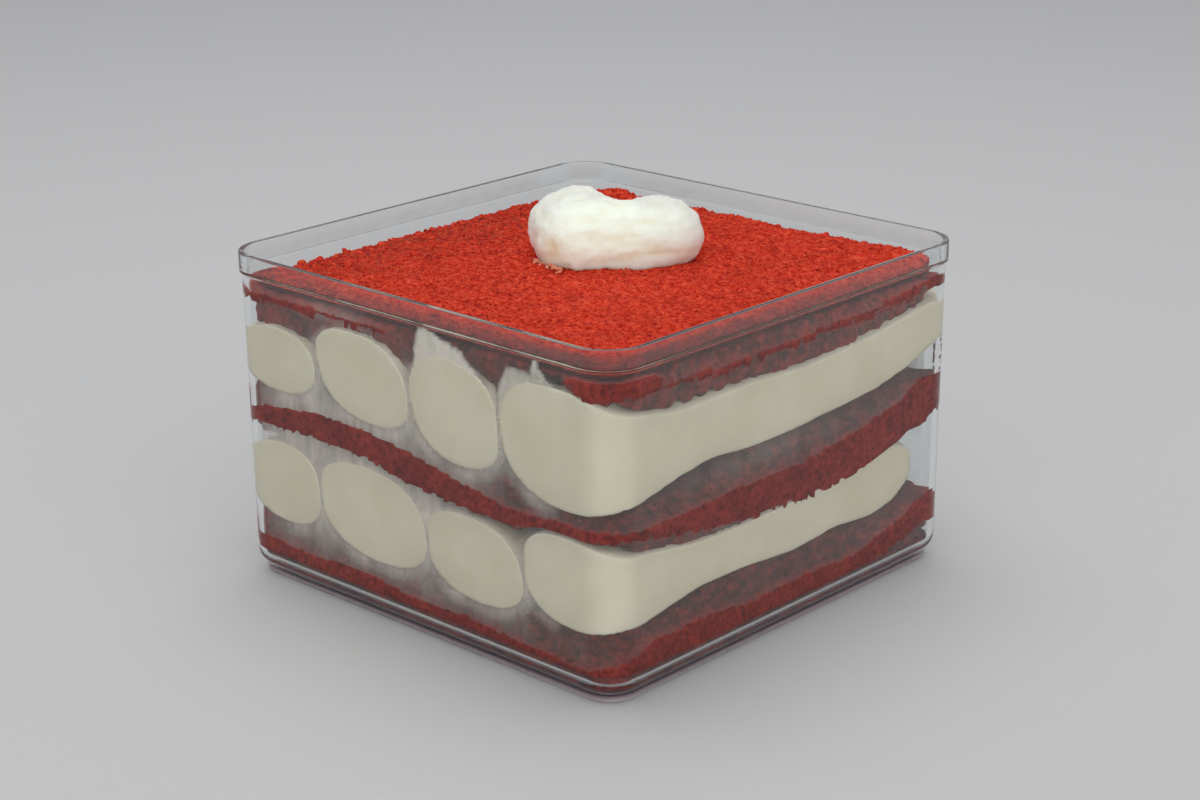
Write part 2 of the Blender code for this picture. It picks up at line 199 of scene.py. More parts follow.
clear_box = new_piece("clear_box", box_bm, "box", clear_plastic(), smooth=True)
flat_shade = clear_box.modifiers.new("crisp flats", "WEIGHTED_NORMAL")
flat_shade.keep_sharp = True

# Sponge slabs
# Three slabs cut from a thin red velvet sheet cake. Their cut sides are open and craggy. Here and there
# they press on the plastic in a flat, redder strip; elsewhere they stand back from it, with painted shade.


def even_mesh(node, voxel, rounds):
    """The CAD solid of a food node as a fine, even, softened mesh."""
    bm = bmesh.new()
    bm.from_mesh(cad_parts[node].data)
    bmesh.ops.remove_doubles(bm, verts=bm.verts, dist=1e-6)
    rough = bpy.data.meshes.new(node + "_even")
    bm.to_mesh(rough)
    bm.free()
    holder = bpy.data.objects.new(node + "_even", rough)
    bpy.context.scene.collection.objects.link(holder)
    remesh = holder.modifiers.new("even", "REMESH")
    remesh.mode = "VOXEL"
    remesh.voxel_size = voxel * MM
    soften = holder.modifiers.new("soft", "SMOOTH")
    soften.factor = 0.5
    soften.iterations = rounds
    depsgraph = bpy.context.evaluated_depsgraph_get()
    mesh = bpy.data.meshes.new_from_object(holder.evaluated_get(depsgraph))
    bpy.data.objects.remove(holder)
    return mesh


def points_of(mesh):
    """A mesh's points in millimetres and its normals, as arrays."""
    points = np.empty(len(mesh.vertices) * 3)
    mesh.vertices.foreach_get("co", points)
    normals = np.empty(len(mesh.vertices) * 3)
    mesh.vertices.foreach_get("normal", normals)
    return points.reshape(-1, 3) / MM, normals.reshape(-1, 3)


def put_points(mesh, points):
    """Write points in millimetres back to a mesh."""
    mesh.vertices.foreach_set("co", (points * MM).ravel())
    mesh.update()


def relief(points, size, octaves, seed):
    """Smooth seeded noise at each point, about -1 to 1, with lumps of the given size in mm."""
    shift = Vector((seed * 7.3, seed * 3.1, seed * 5.7))
    return np.array([noise.fractal(Vector(p) / size + shift, 0.9, 2.0, octaves) for p in points])


DRAFT_START = 5.0


def inner_half(z):
    """Half the distance between two facing inner walls at a height between base and rim."""
    rise = np.clip((z - DRAFT_START) / (RIM_STEP - DRAFT_START), 0.0, 1.0)
    return WALL_LOW_HALF - WALL + (WALL_TOP_HALF - WALL_LOW_HALF) * rise


def wall_room(points):
    """Distance to the box's inner wall and the direction straight to it, in plan."""
    z = np.clip(points[:, 2], 0.0, BOX_TOP)
    half = np.where(z > RIM_STEP + 0.3, RIM_HALF - WALL, inner_half(z))
    low = FOOT + FLOOR + BASE_ROUND - WALL
    drop = np.clip(low - z, 0.0, BASE_ROUND - WALL)
    inner = BASE_ROUND - WALL
    half = half - (inner - np.sqrt(np.maximum(inner * inner - drop * drop, 0.0)))
    corner = 8.0 - (RIM_HALF - half)
    side = np.abs(points[:, :2]) - (half - corner)[:, None]
    turned = (side > 0.0).all(axis=1)
    reach = np.hypot(side[:, 0], side[:, 1])
    room = np.where(turned, corner - reach, half - np.abs(points[:, :2]).max(axis=1))
    direction = np.zeros((len(points), 2))
    along_x = np.abs(points[:, 0]) > np.abs(points[:, 1])
    direction[:, 0] = np.where(along_x, 1.0, 0.0)
    direction[:, 1] = np.where(along_x, 0.0, 1.0)
    safe = np.maximum(reach, 1e-6)[:, None]
    direction = np.where(turned[:, None], side / safe, direction) * np.sign(points[:, :2])
    return room, direction


def smooth_step(value):
    """0 below 0, 1 above 1, and an even curve between."""
    value = np.clip(value, 0.0, 1.0)
    return value * value * (3.0 - 2.0 * value)


PRESS_IN = 0.12
LEAST_GAP = 0.12
SPONGE_BACK = 0.35
INNER_CRAGS, EDGE_CRAGS = 0.18, 0.2
FACING = 0.7
# A slab's edge zone: how far in from the wall it starts to fade, and over what width
EDGE_START, EDGE_WIDE = 2.5, 4.0
# Strips reach past their table, further on the front wall, where they are also less ragged
FRONT_SPREAD, SIDE_SPREAD = 0.9, 0.45
FRONT_RAGGED, UPPER_RAGGED = 0.6, 0.4
STRIP_REACH = 4.0
STRIP_FLOOR = 4.9
BASE_TIGHT = 5.4
BASE_SINK = 0.36
# Middle height and half width of each slab's pressed strip, along the -Y wall by X and along the +X wall by
# Y
STRIPS = {
    "sponge_bottom": (
        (
            (-45, 6.4, 1.6), (-29, 5.4, 2.1), (-15, 5.8, 2.4), (0, 4.6, 2.2), (12, 5.2, 1.9),
            (30, 5.2, 0.9), (40, 5.0, 0.7),
        ),
        (
            (-44, 6.0, 2.2), (-39, 7.5, 2.6), (-24, 7.3, 2.8), (-11, 6.6, 2.2), (4, 6.8, 2.4),
            (19, 6.2, 2.2), (35, 9.4, 2.6), (44, 12.8, 3.6),
        ),
    ),
    "sponge_middle": (
        (
            (-46, 33.6, 1.2), (-40, 34.3, 1.5), (-27, 35.2, 2.1), (-13, 34.9, 2.3), (0, 33.1, 2.6),
            (12, 31.4, 2.0), (25, 30.4, 1.0), (40, 31.5, 0.6),
        ),
        (
            (-44, 31.5, 0.6), (-32, 30.0, 1.9), (-18, 29.3, 3.2), (3, 28.5, 3.8), (18, 29.6, 4.4),
            (33, 32.3, 4.3), (41, 35.5, 5.4), (46, 38.5, 5.8),
        ),
    ),
    "sponge_top": (
        (
            (-46, 58.0, 0.4), (-6, 58.0, 0.3), (-3, 58.0, -3.0), (34, 58.0, -3.0), (40, 58.6, 0.4),
            (43, 59.0, 2.4),
        ),
        (
            (-47, 59.0, 2.6), (-41, 58.6, 2.2), (-36, 57.5, 0.5), (-20, 56.0, 0.6), (10, 56.5, 0.8),
            (34, 57.5, 1.0), (46, 59.0, 1.2),
        ),
    ),
}


def along_strips(points, direction, strips, column):
    """One column of the strip tables at each point, blended round the corners."""
    front, right = (np.array(strip, dtype=float) for strip in strips)
    by_x = np.where(direction[:, 1] > 0.5, -points[:, 0], points[:, 0])
    by_y = np.where(direction[:, 0] < -0.5, -points[:, 1], points[:, 1])
    share = np.clip(direction[:, 0] ** 2, 0.0, 1.0)
    on_front = np.interp(by_x, front[:, 0], front[:, column])
    on_right = np.interp(by_y, right[:, 0], right[:, column])
    return on_front * (1.0 - share) + on_right * share


def strip_middle(points, direction, strips):
    """Height of the pressed strip's middle line where each point is."""
    return along_strips(points, direction, strips, 1)


def strip_share(points, direction, strips):
    """How far each point lies inside its slab's pressed strip: above 0 inside, below 0 outside, in mm."""
    half = along_strips(points, direction, strips, 2)
    return half - np.abs(points[:, 2] - strip_middle(points, direction, strips))


# Where a slab's lower edge lies, along the -Y wall by X and along the +X wall by Y. It sinks between the
# ropes and hangs in front of their shoulders. A height of 99 leaves the slab's own edge.
OWN_EDGE = 99.0
FRINGES = {
    "sponge_top": (
        (
            (-46.0, 50.6), (-43.5, 51.0), (-40.0, 51.5), (-31.0, 49.4), (-26.1, 47.4), (-22.5, 50.5),
            (-16.0, 55.0), (-8.0, 52.6), (-1.2, 49.8), (2.5, 52.5), (10.0, 54.0), (17.5, 51.4),
            (20.8, 50.2), (24.5, 53.6), (34.0, 55.2), (44.0, 54.2), (48.0, 54.0),
        ),
        (
            (-47.0, 54.6), (-46.0, 54.8), (-38.0, 52.2), (-30.0, 51.2), (-18.0, 51.6), (2.0, 50.8),
            (14.0, 50.4), (32.0, 52.8), (45.0, 54.2),
        ),
    ),
    "sponge_middle": (
        ((-48.0, OWN_EDGE), (48.0, OWN_EDGE)),
        (
            (-48.0, 30.5), (-44.0, 28.5), (-38.0, 25.6), (-25.0, 23.0), (3.0, 23.2), (18.0, 24.8),
            (33.0, 28.4), (40.0, 32.0), (46.0, OWN_EDGE),
        ),
    ),
}
FRINGE_REACH = 3.2


def fringe_drop(points, room, direction, edges):
    """How far a slab's underside sinks near the two front walls to reach its measured lower edge."""
    fall = np.zeros(len(points))
    stops = np.linspace(-46.0, 46.0, 47)
    top = points[:, 2].max() - 1.0
    for along, across, line in ((0, 1, edges[0]), (1, 0, edges[1])):
        line = np.array(line)
        facing_wall = np.abs(direction[:, across]) > FACING
        facing_wall &= points[:, across] * (1.0 if across == 0 else -1.0) > 0.0
        close = facing_wall & (room < 2.5)
        lowest = []
        for stop in stops:
            beside = close & (np.abs(points[:, along] - stop) < 2.0)
            lowest.append(points[beside, 2].min(initial=OWN_EDGE))
        bottom = np.interp(points[:, along], stops, lowest)
        wanted = np.interp(points[:, along], line[:, 0], line[:, 1])
        sink = np.maximum(bottom - wanted, 0.0) * (wanted < OWN_EDGE - 20.0)
        share = np.clip((top - points[:, 2]) / np.maximum(top - bottom, 1.0), 0.0, 1.0)
        fall = np.where(facing_wall, sink * share, fall)
    return fall * smooth_step(1.0 - (room - 0.5) / FRINGE_REACH)


def sponge_material(name, dark, mid, light, shade_of=None, cloudy=0.85):
    """Open-crumbed red sponge: pores, darker crust flecks and a little unevenness in its red."""
    made, tree, shader = shader_tree(name)
    where = coordinates(tree)
    grain = noise_node(tree, where, 900.0, 6.0, 0.7)
    colour = ramp(tree, grain, ((0.34, dark), (0.49, mid), (0.64, light)))
    broad = noise_node(tree, where, 210.0, 4.0)
    tone = ramp(tree, broad, ((0.36, (0.50, 0.46, 0.46)), (0.60, (1.0, 1.0, 1.0))))
    colour = blend(tree, "MULTIPLY", colour, tone, cloudy)
    if shade_of:
        colour = blend(tree, "MULTIPLY", colour, shade_of(tree), 1.0)
    tree.links.new(colour, shader.inputs["Base Color"])
    shader.inputs["Roughness"].default_value = 0.8
    shader.inputs["Specular IOR Level"].default_value = 0.2
    bump(tree, shader, grain, 0.8, 0.0006)
    return made


def blend(tree, mode, first, second, share):
    """Two colours mixed in one of Blender's blend modes, by a number or by a socket."""
    mix = tree.nodes.new("ShaderNodeMix")
    mix.data_type = "RGBA"
    mix.blend_type = mode
    if isinstance(share, float):
        mix.inputs["Factor"].default_value = share
    else:
        tree.links.new(share, mix.inputs["Factor"])
    tree.links.new(first, mix.inputs["A"])
    tree.links.new(second, mix.inputs["B"])
    return mix.outputs["Result"]


def pressed_shade(tree):
    """Full colour where the sponge is pressed on the plastic; elsewhere painted shade: dark crags and a
    dull, darker red.
    """
    mapping = tree.nodes.new("ShaderNodeMapping")
    mapping.inputs["Scale"].default_value = (1.0, 1.0, 1.8)
    tree.links.new(coordinates(tree), mapping.inputs["Vector"])
    # Painted shade: the crags darker, and the whole side a duller, darker red where it stands back from the
    # plastic
    crag = noise_node(tree, mapping.outputs["Vector"], 340.0, 4.0, 0.65)
    shade_stops = ((0.34, (0.14, 0.18, 0.20)), (0.50, (0.45, 0.54, 0.60)), (0.66, (0.85, 0.95, 0.95)))
    standing_back_shade = ramp(tree, crag, shade_stops)
    pressed = tree.nodes.new("ShaderNodeAttribute")
    pressed.attribute_name = "pressed"
    unshaded = tree.nodes.new("ShaderNodeRGB")
    unshaded.outputs[0].default_value = (1.0, 1.0, 1.0, 1.0)
    return blend(tree, "MIX", standing_back_shade, unshaded.outputs[0], pressed.outputs["Fac"])


def set_shares(mesh, name, values):
    """A number for each point of a mesh, which a material can read."""
    mesh.attributes.new(name, "FLOAT", "POINT").data.foreach_set("value", values)


sponge_red = sponge_material(
    "red_sponge_crumb", (0.15, 0.010, 0.008), (0.37, 0.027, 0.015), (0.50, 0.050, 0.028), pressed_shade, 0.6
)
SPONGE_VOXEL = 0.62
# Each slab's sides: size and depth of their lumps, depth of their crags, and how far the crags that
# nearly reach the plastic show in full colour, without the painted shade
SLAB_SIDES = {
    "sponge_bottom": (5.0, 0.45, 0.6, 0.0),
    "sponge_middle": (5.0, 0.45, 0.6, 0.0),
    "sponge_top": (3.8, 0.7, 0.8, 0.85),
}
NEAR_PLASTIC = 0.5

for number, slab in enumerate(("sponge_bottom", "sponge_middle", "sponge_top")):
    slab_mesh = even_mesh(slab, SPONGE_VOXEL, 6)
    spots, facing = points_of(slab_mesh)
    room, outward = wall_room(spots)
    if slab in FRINGES:
        spots[:, 2] -= fringe_drop(spots, room, outward, FRINGES[slab])
    lump_size, lump_depth, crag_depth, crag_show = SLAB_SIDES[slab]
    lumps = relief(spots, lump_size, 2, 11 + number)
    crags = relief(spots, 1.5, 3, 21 + number)
    ragged = relief(spots * (1.0, 1.0, 0.5), 1.4, 3, 31 + number)
    edge = 1.0 - smooth_step((room - EDGE_START) / EDGE_WIDE)
    on_front = outward[:, 1] < -FACING
    below = spots[:, 2] < strip_middle(spots, outward, STRIPS[slab])
    inside = strip_share(spots, outward, STRIPS[slab]) + np.where(on_front, FRONT_SPREAD, SIDE_SPREAD)
    inside += ragged * np.where(below, 1.0, UPPER_RAGGED) * np.where(on_front, FRONT_RAGGED, 1.0)
    touch = smooth_step((inside + 0.1) / 0.45) * (room < STRIP_REACH)
    touch *= smooth_step((spots[:, 2] - STRIP_FLOOR) / 0.4)
    back = SPONGE_BACK + lump_depth * lumps + crag_depth * crags
    if slab == "sponge_bottom":
        base = smooth_step((BASE_TIGHT - spots[:, 2]) / 1.5)
        back = back * (1.0 - base) + (LEAST_GAP - room) * base
        crags = crags * (1.0 - base)
        spots[:, 2] -= BASE_SINK * base * smooth_step((4.1 - spots[:, 2]) / 0.6)
    pull = touch * (room + PRESS_IN) + (1.0 - touch) * -np.maximum(back, LEAST_GAP - room) * edge
    spots[:, :2] += outward * pull[:, None]
    rough = (1.0 - edge) * INNER_CRAGS * crags + edge * (1.0 - touch) * EDGE_CRAGS * crags
    spots += facing * rough[:, None]
    put_points(slab_mesh, spots)
    # The pressed strip and the crags that nearly reach the plastic are spared the painted shade
    shown = crag_show * smooth_step((NEAR_PLASTIC - back) / NEAR_PLASTIC)
    set_shares(slab_mesh, "pressed", np.maximum(touch, shown))
    finish_piece(slab.replace("sponge", "sponge_slab"), slab_mesh, slab, sponge_red)

# Ropes of cream
# Two layers of four thick ropes of whipped cream, piped side by side with a wide round nozzle. Their ends
# spread flat on the front wall and the outer ropes press along the side wall in long smooth patches.
ROPE_VOXEL = 0.8
ROPE_WAVES = 0.45
# A rope closer to the wall than the first distance is drawn to it, fully so where it is nearer by the
# second. Where it is drawn by more than the last share, it leaves a print.
ROPE_PRESS = 2.7
ROPE_FADE = 1.3
PRINT_SHARE = 0.6


def cream_material(name, colour, shadow, depth=0.0022, painted_hollow_shade=None):
    """Whipped cream: satin, lit a little from within, faintly uneven, with painted tan shade in its hollows
    if asked.
    """
    made, tree, shader = shader_tree(name)
    where = coordinates(tree)
    cloud = noise_node(tree, where, 90.0, 3.0)
    tone = ramp(tree, cloud, ((0.35, shadow), (0.65, colour)))
    if painted_hollow_shade:
        share = tree.nodes.new("ShaderNodeAttribute")
        share.attribute_name = "painted_hollow_shade"
        hollow_tan_shade = tree.nodes.new("ShaderNodeRGB")
        hollow_tan_shade.outputs[0].default_value = (*painted_hollow_shade, 1.0)
        tone = blend(tree, "MIX", tone, hollow_tan_shade.outputs[0], share.outputs["Fac"])
    tree.links.new(tone, shader.inputs["Base Color"])
    shader.inputs["Roughness"].default_value = 0.48
    shader.inputs["Specular IOR Level"].default_value = 0.35
    shader.inputs["Subsurface Weight"].default_value = 0.35 if depth < 0.004 else 0.8
    shader.inputs["Subsurface Radius"].default_value = (0.9, 0.9, 0.75)
    shader.inputs["Subsurface Scale"].default_value = depth
    fine = noise_node(tree, where, 700.0, 3.0)
    bump(tree, shader, fine, 0.25, 0.0002)
    return made


rope_cream = cream_material("piped_cream", (0.905, 0.855, 0.68), (0.855, 0.795, 0.61))
rope_prints = []

for layer in ("lower", "upper"):
    for number in range(1, 5):
        node = "cream_%s_%d" % (layer, number)
        rope_mesh = even_mesh(node, ROPE_VOXEL, 12)
        spots, facing = points_of(rope_mesh)
        waves = relief(spots, 7.0, 2, 41 + number + (layer == "upper") * 5)
        room, outward = wall_room(spots)
        near = smooth_step((ROPE_PRESS - room) / ROPE_FADE)
        spots += facing * (ROPE_WAVES * waves * (1.0 - near))[:, None]
        spots[:, :2] += outward * ((room + PRESS_IN) * near)[:, None]
        put_points(rope_mesh, spots)
        rope_prints.append(spots[near > PRINT_SHARE])
        finish_piece("piped_" + node, rope_mesh, node, rope_cream)

# Haze and smears on the plastic
# Cream and moisture from the cake leave a thin grey film on the inside of the walls, thickest beside the
# ropes, and smears where a rope slid down. They are films with soft edges, so they show what is behind.
HAZE_LOW = 5.4
HAZE_TOP = RIM_STEP - 0.6
HAZE_ROWS = 46
HAZE_CUTS = 60
HAZE_DEPTH = 0.05
FILM_CLEAR = 0.02
HAZE_BASE = 0.02
HAZE_MOST = 0.85
CLEAR_CORNER = 5.0
CORNER_RUN = 98.0
# Patches of thicker haze: place along the walls (X, or Y + 98 past the corner), height, half sizes
# along and up, and strength
HAZE_PATCHES = (
    (-36.0, 31.0, 10.0, 4.6, 0.62),
    (-16.0, 29.5, 13.0, 4.0, 0.66),
    (6.0, 26.5, 9.0, 3.2, 0.48),
    (-32.0, 39.0, 12.0, 3.0, 0.50),
    (-9.0, 38.5, 11.0, 3.2, 0.58),
    (12.0, 34.8, 8.0, 2.4, 0.22),
    (-26.0, 46.0, 1.8, 6.0, 0.30),
    (-0.4, 45.0, 1.6, 7.0, 0.34),
    (22.8, 44.0, 1.4, 6.0, 0.22),
    (-26.2, 21.0, 1.8, 7.0, 0.34),
    (3.3, 19.0, 1.8, 7.0, 0.34),
    (28.2, 18.0, 1.6, 6.0, 0.26),
    (-30.0, 12.0, 15.0, 3.0, 0.20),
    (0.0, 10.5, 18.0, 3.0, 0.12),
    (24.0, 9.0, 12.0, 2.4, 0.06),
    (-20.0, 59.0, 8.0, 2.0, 0.14),
    (92.0, 37.5, 26.0, 2.6, 0.07),
    (100.0, 24.0, 34.0, 2.6, 0.10),
)


def film_material(name, colour, thin, thick, size, streak):
    """A film: matt and milky, as thick as the mesh's cover says, with patchy streaks."""
    made, tree, shader = shader_tree(name)
    shader.inputs["Base Color"].default_value = (*colour, 1.0)
    shader.inputs["Roughness"].default_value = 0.6
    shader.inputs["Specular IOR Level"].default_value = 0.1
    mapping = tree.nodes.new("ShaderNodeMapping")
    mapping.inputs["Scale"].default_value = (1.0, 1.0, streak)
    tree.links.new(coordinates(tree), mapping.inputs["Vector"])
    patch = noise_node(tree, mapping.outputs["Vector"], size, 5.0, 0.6)
    span = tree.nodes.new("ShaderNodeMapRange")
    span.inputs["From Min"].default_value = 0.32
    span.inputs["From Max"].default_value = 0.68
    span.inputs["To Min"].default_value = thin
    span.inputs["To Max"].default_value = thick
    tree.links.new(patch, span.inputs["Value"])
    cover = tree.nodes.new("ShaderNodeAttribute")
    cover.attribute_name = "cover"
    share = tree.nodes.new("ShaderNodeMath")
    share.operation = "MULTIPLY"
    share.use_clamp = True
    tree.links.new(cover.outputs["Fac"], share.inputs[0])
    tree.links.new(span.outputs["Result"], share.inputs[1])
    tree.links.new(share.outputs[0], shader.inputs["Alpha"])
    return made


def film_piece(name, bm, material, cover_of, depth, offset):
    """A film from an open sheet: its cover at every point, then its thickness."""
    film = new_piece(name, bm, None, material)
    sheet_points = points_of(film.data)[0]
    set_shares(film.data, "cover", cover_of(sheet_points))
    body = film.modifiers.new("film", "SOLIDIFY")
    body.thickness = depth * MM
    body.offset = offset
    return film


# On the front and back walls cream smears out beside and below each pressed rope: how far, and how thick
PRINT_START = 0.6
PRINT_REACH = 2.6
PRINT_COVER = 0.34
PRINT_END = 38.0
print_points = np.concatenate(rope_prints)
print_tree = KDTree(len(print_points))
for number, spot in enumerate(print_points):
    print_tree.insert(spot, number)
print_tree.balance()


def haze_cover(points):
    """How thick the haze is at each point, 0 to 1; the two far walls get the near walls' haze."""
    x, y, z = points.T
    far = (x - y) < 0.0
    x = np.where(far, -x, x)
    y = np.where(far, -y, y)
    run = np.where(-y > x, x, y + CORNER_RUN)
    cover = np.full(len(points), HAZE_BASE)
    for middle_run, middle_z, half_run, half_z, strength in HAZE_PATCHES:
        away = ((run - middle_run) / half_run) ** 2 + ((z - middle_z) / half_z) ** 2
        cover += strength * np.exp(-away)
    nearest = [print_tree.find(spot) for spot in points]
    from_print = np.array([found[2] for found in nearest])
    under_print = np.array([found[0].z for found in nearest]) - z
    fringe = smooth_step(1.0 - (from_print - PRINT_START) / PRINT_REACH)
    fringe *= smooth_step((under_print + 0.8) / 1.2)
    fringe *= smooth_step((PRINT_END - np.abs(x)) / 4.0) * (-y > np.abs(x))
    cover += PRINT_COVER * fringe
    cover = np.minimum(cover, HAZE_MOST)
    return cover * smooth_step((HAZE_TOP - z) / 2.0) * smooth_step((z - HAZE_LOW) / 2.0)


haze_bm = bmesh.new()
haze_rows = []
for row in range(HAZE_ROWS + 1):
    z = HAZE_LOW + (HAZE_TOP - HAZE_LOW) * row / HAZE_ROWS
    haze_half = WALL_LOW_HALF - WALL - FILM_CLEAR + (WALL_TOP_HALF - WALL_LOW_HALF) * row / HAZE_ROWS
    haze_rows.append((haze_half, z))
haze_loops = [box_ring(haze_bm, half, z) for half, z in haze_rows]
bridge_rings(haze_bm, haze_loops)
long_edges = [edge for edge in haze_bm.edges if edge.calc_length() > 20.0 * MM]
bmesh.ops.subdivide_edges(haze_bm, edges=long_edges, cuts=HAZE_CUTS, use_grid_fill=True)
corner_verts = []
for vert in haze_bm.verts:
    x, y = vert.co.x / MM, vert.co.y / MM
    at_corner = min(abs(x), abs(y)) > FOOT_HALF - CLEAR_CORNER
    if at_corner and not (x > 0.0 and y < 0.0):
        corner_verts.append(vert)
bmesh.ops.delete(haze_bm, geom=corner_verts, context="VERTS")
bmesh.ops.recalc_face_normals(haze_bm, faces=haze_bm.faces)
grey_haze = film_material("grey_haze", (0.88, 0.78, 0.70), 0.45, 1.35, 190.0, 0.35)
film_piece("wall_haze", haze_bm, grey_haze, haze_cover, HAZE_DEPTH, -1.0)

# A pale purple-grey film under the foot lightens the foot, which the plastic shows dark: painted light for
# the foot
FOOT_FILM_Z = 0.1
FOOT_FILM_WIDE = 6.0
foot_film_bm = bmesh.new()
foot_film_loops = [box_ring(foot_film_bm, half, FOOT_FILM_Z) for half in (FOOT_HALF - 0.3, FOOT_HALF - FOOT_FILM_WIDE)]
bridge_rings(foot_film_bm, foot_film_loops)
bmesh.ops.recalc_face_normals(foot_film_bm, faces=foot_film_bm.faces)
# The film's pale purple-grey is painted light
foot_light_film = film_material("painted_foot_light", (0.88, 0.72, 0.80), 0.6, 0.85, 400.0, 1.0)


def full_cover(points):
    """The same cover everywhere."""
    return np.ones(len(points))


film_piece("foot_painted_light", foot_film_bm, foot_light_film, full_cover, HAZE_DEPTH, 0.0)

# A dark film on the inside of the rim, more of it on the two near walls, darkens the crumbs seen through it:
# painted shade for the crumbs by the wall, with some crumb dust from the sieving
RIM_FILM_LOW, RIM_FILM_HIGH = 62.3, 65.4
RIM_FILM_ROWS = 6
RIM_FILM_COVER = 0.42
RIM_FILM_FAR_COVER = 0.04


def rim_film_cover(points):
    """Thick low on the near walls and thin on the far ones, gone at the top."""
    near = smooth_step((points[:, 0] - points[:, 1] - 10.0) / 10.0)
    share = RIM_FILM_FAR_COVER + (RIM_FILM_COVER - RIM_FILM_FAR_COVER) * near
    return share * smooth_step((RIM_FILM_HIGH - points[:, 2]) / 1.6)


rim_film_bm = bmesh.new()
rim_film_heights = np.linspace(RIM_FILM_LOW, RIM_FILM_HIGH, RIM_FILM_ROWS)
rim_film_loops = [box_ring(rim_film_bm, RIM_HALF - WALL - FILM_CLEAR, z) for z in rim_film_heights]
bridge_rings(rim_film_bm, rim_film_loops)
bmesh.ops.recalc_face_normals(rim_film_bm, faces=rim_film_bm.faces)
# Its dark colour is painted shade, partly crumb dust
dust_and_shade_film = film_material("crumb_dust_and_painted_shade", (0.09, 0.062, 0.062), 0.6, 1.4, 260.0, 1.0)
film_piece("rim_dust_and_painted_shade", rim_film_bm, dust_and_shade_film, rim_film_cover, HAZE_DEPTH, -1.0)

# Smears on the front wall: outline by X and Z, how soft the edge is, cover at the top and at the bottom
SMEARS = {
    "smear_wide": (
        (
            (0.6, 50.0), (1.4, 56.5), (2.9, 61.4), (4.6, 61.5), (11.2, 59.7), (15.4, 58.2), (17.9, 55.2),
            (20.6, 49.5),
        ),
        0.9, 0.85, 1.0,
    ),
    "smear_edge": (
        (
            (22.4, 48.0), (22.9, 54.5), (25.0, 58.8), (29.0, 58.9), (35.0, 57.6), (42.5, 56.4),
            (41.0, 53.0), (30.0, 48.0),
        ),
        0.9, 0.45, 0.9,
    ),
    "smear_tip": (((30.8, 56.5), (31.3, 61.2), (32.6, 61.3), (35.6, 57.6), (38.4, 55.6)), 0.5, 0.5, 0.7),
}
SMEAR_STEP = 0.5
SMEAR_DEPTH = 0.1
SMEAR_INTO = 0.03
smear_white = film_material("cream_smear", (0.90, 0.84, 0.75), 0.9, 1.4, 420.0, 0.5)


def inside_by(points, outline):
    """How far each point lies inside an outline, below 0 outside it."""
    corners = np.array(outline, dtype=float)
    nearest = np.full(len(points), np.inf)
    odd = np.zeros(len(points), dtype=bool)
    for start, end in zip(corners, np.roll(corners, -1, axis=0)):
        side_run = end - start
        share = np.clip(((points - start) @ side_run) / (side_run @ side_run), 0.0, 1.0)
        nearest = np.minimum(nearest, np.hypot(*(points - start - share[:, None] * side_run).T))
        crosses = (start[1] > points[:, 1]) != (end[1] > points[:, 1])
        slope = side_run[0] / side_run[1] if side_run[1] else 0.0
        odd ^= crosses & (points[:, 0] < start[0] + (points[:, 1] - start[1]) * slope)
    return np.where(odd, nearest, -nearest)


def smear_cover_of(smear_outline, soft, top_cover, low_cover):
    """The cover of one smear: soft edges, and thicker towards the rope below."""
    low = min(z for x, z in smear_outline)
    high = max(z for x, z in smear_outline)

    def smear_cover(points):
        """How thick this smear is at each point."""
        flat = points[:, [0, 2]] + 0.5 * relief(points, 2.2, 2, 55)[:, None]
        edge_share = smooth_step(inside_by(flat, smear_outline) / soft)
        rise = (points[:, 2] - low) / (high - low)
        return edge_share * (low_cover + (top_cover - low_cover) * rise)

    return smear_cover


for smear_name, (smear_outline, soft, top_cover, low_cover) in SMEARS.items():
    left, right = min(x for x, z in smear_outline), max(x for x, z in smear_outline)
    low, high = min(z for x, z in smear_outline), max(z for x, z in smear_outline)
    smear_bm = bmesh.new()
    across, upward = int((right - left) / SMEAR_STEP), int((high - low) / SMEAR_STEP)
    bmesh.ops.create_grid(smear_bm, x_segments=across, y_segments=upward, size=0.5)
    for vert in smear_bm.verts:
        x = left + (right - left) * (vert.co.x + 0.5)
        z = low + (high - low) * (vert.co.y + 0.5)
        vert.co = (x * MM, -(inner_half(z) + SMEAR_INTO) * MM, z * MM)
    bmesh.ops.recalc_face_normals(smear_bm, faces=smear_bm.faces)
    cover_of = smear_cover_of(smear_outline, soft, top_cover, low_cover)
    film_piece(smear_name, smear_bm, smear_white, cover_of, SMEAR_DEPTH, 0.0)

# Crumb bed and loose crumbs
# Sieved red velvet crumbs cover the top from wall to wall: a rough bed, and on it loose grains from
# fine dust to lumps of two millimetres, more of the lumps at the edges.
CRUMB_REDS = ((0.38, 0.015, 0.007), (0.74, 0.040, 0.015), (0.90, 0.120, 0.046))
CRUMB_CLOUDY = 0.3
crumb_red = sponge_material("red_crumb", *CRUMB_REDS, cloudy=CRUMB_CLOUDY)
# Below about this height the bed is darkened with painted shade
BED_SIDE_Z = 61.6


def bed_shade(tree):
    """The bed's sides and underside are darkened with painted shade, its top in full red."""
    split = tree.nodes.new("ShaderNodeSeparateXYZ")
    tree.links.new(coordinates(tree), split.inputs["Vector"])
    span = tree.nodes.new("ShaderNodeMapRange")
    span.inputs["From Min"].default_value = (BED_SIDE_Z - 0.7) * MM
    span.inputs["From Max"].default_value = (BED_SIDE_Z + 0.5) * MM
    tree.links.new(split.outputs["Z"], span.inputs["Value"])
    return ramp(tree, span.outputs["Result"], ((0.0, (0.22, 0.30, 0.45)), (1.0, (1.0, 1.0, 1.0))))


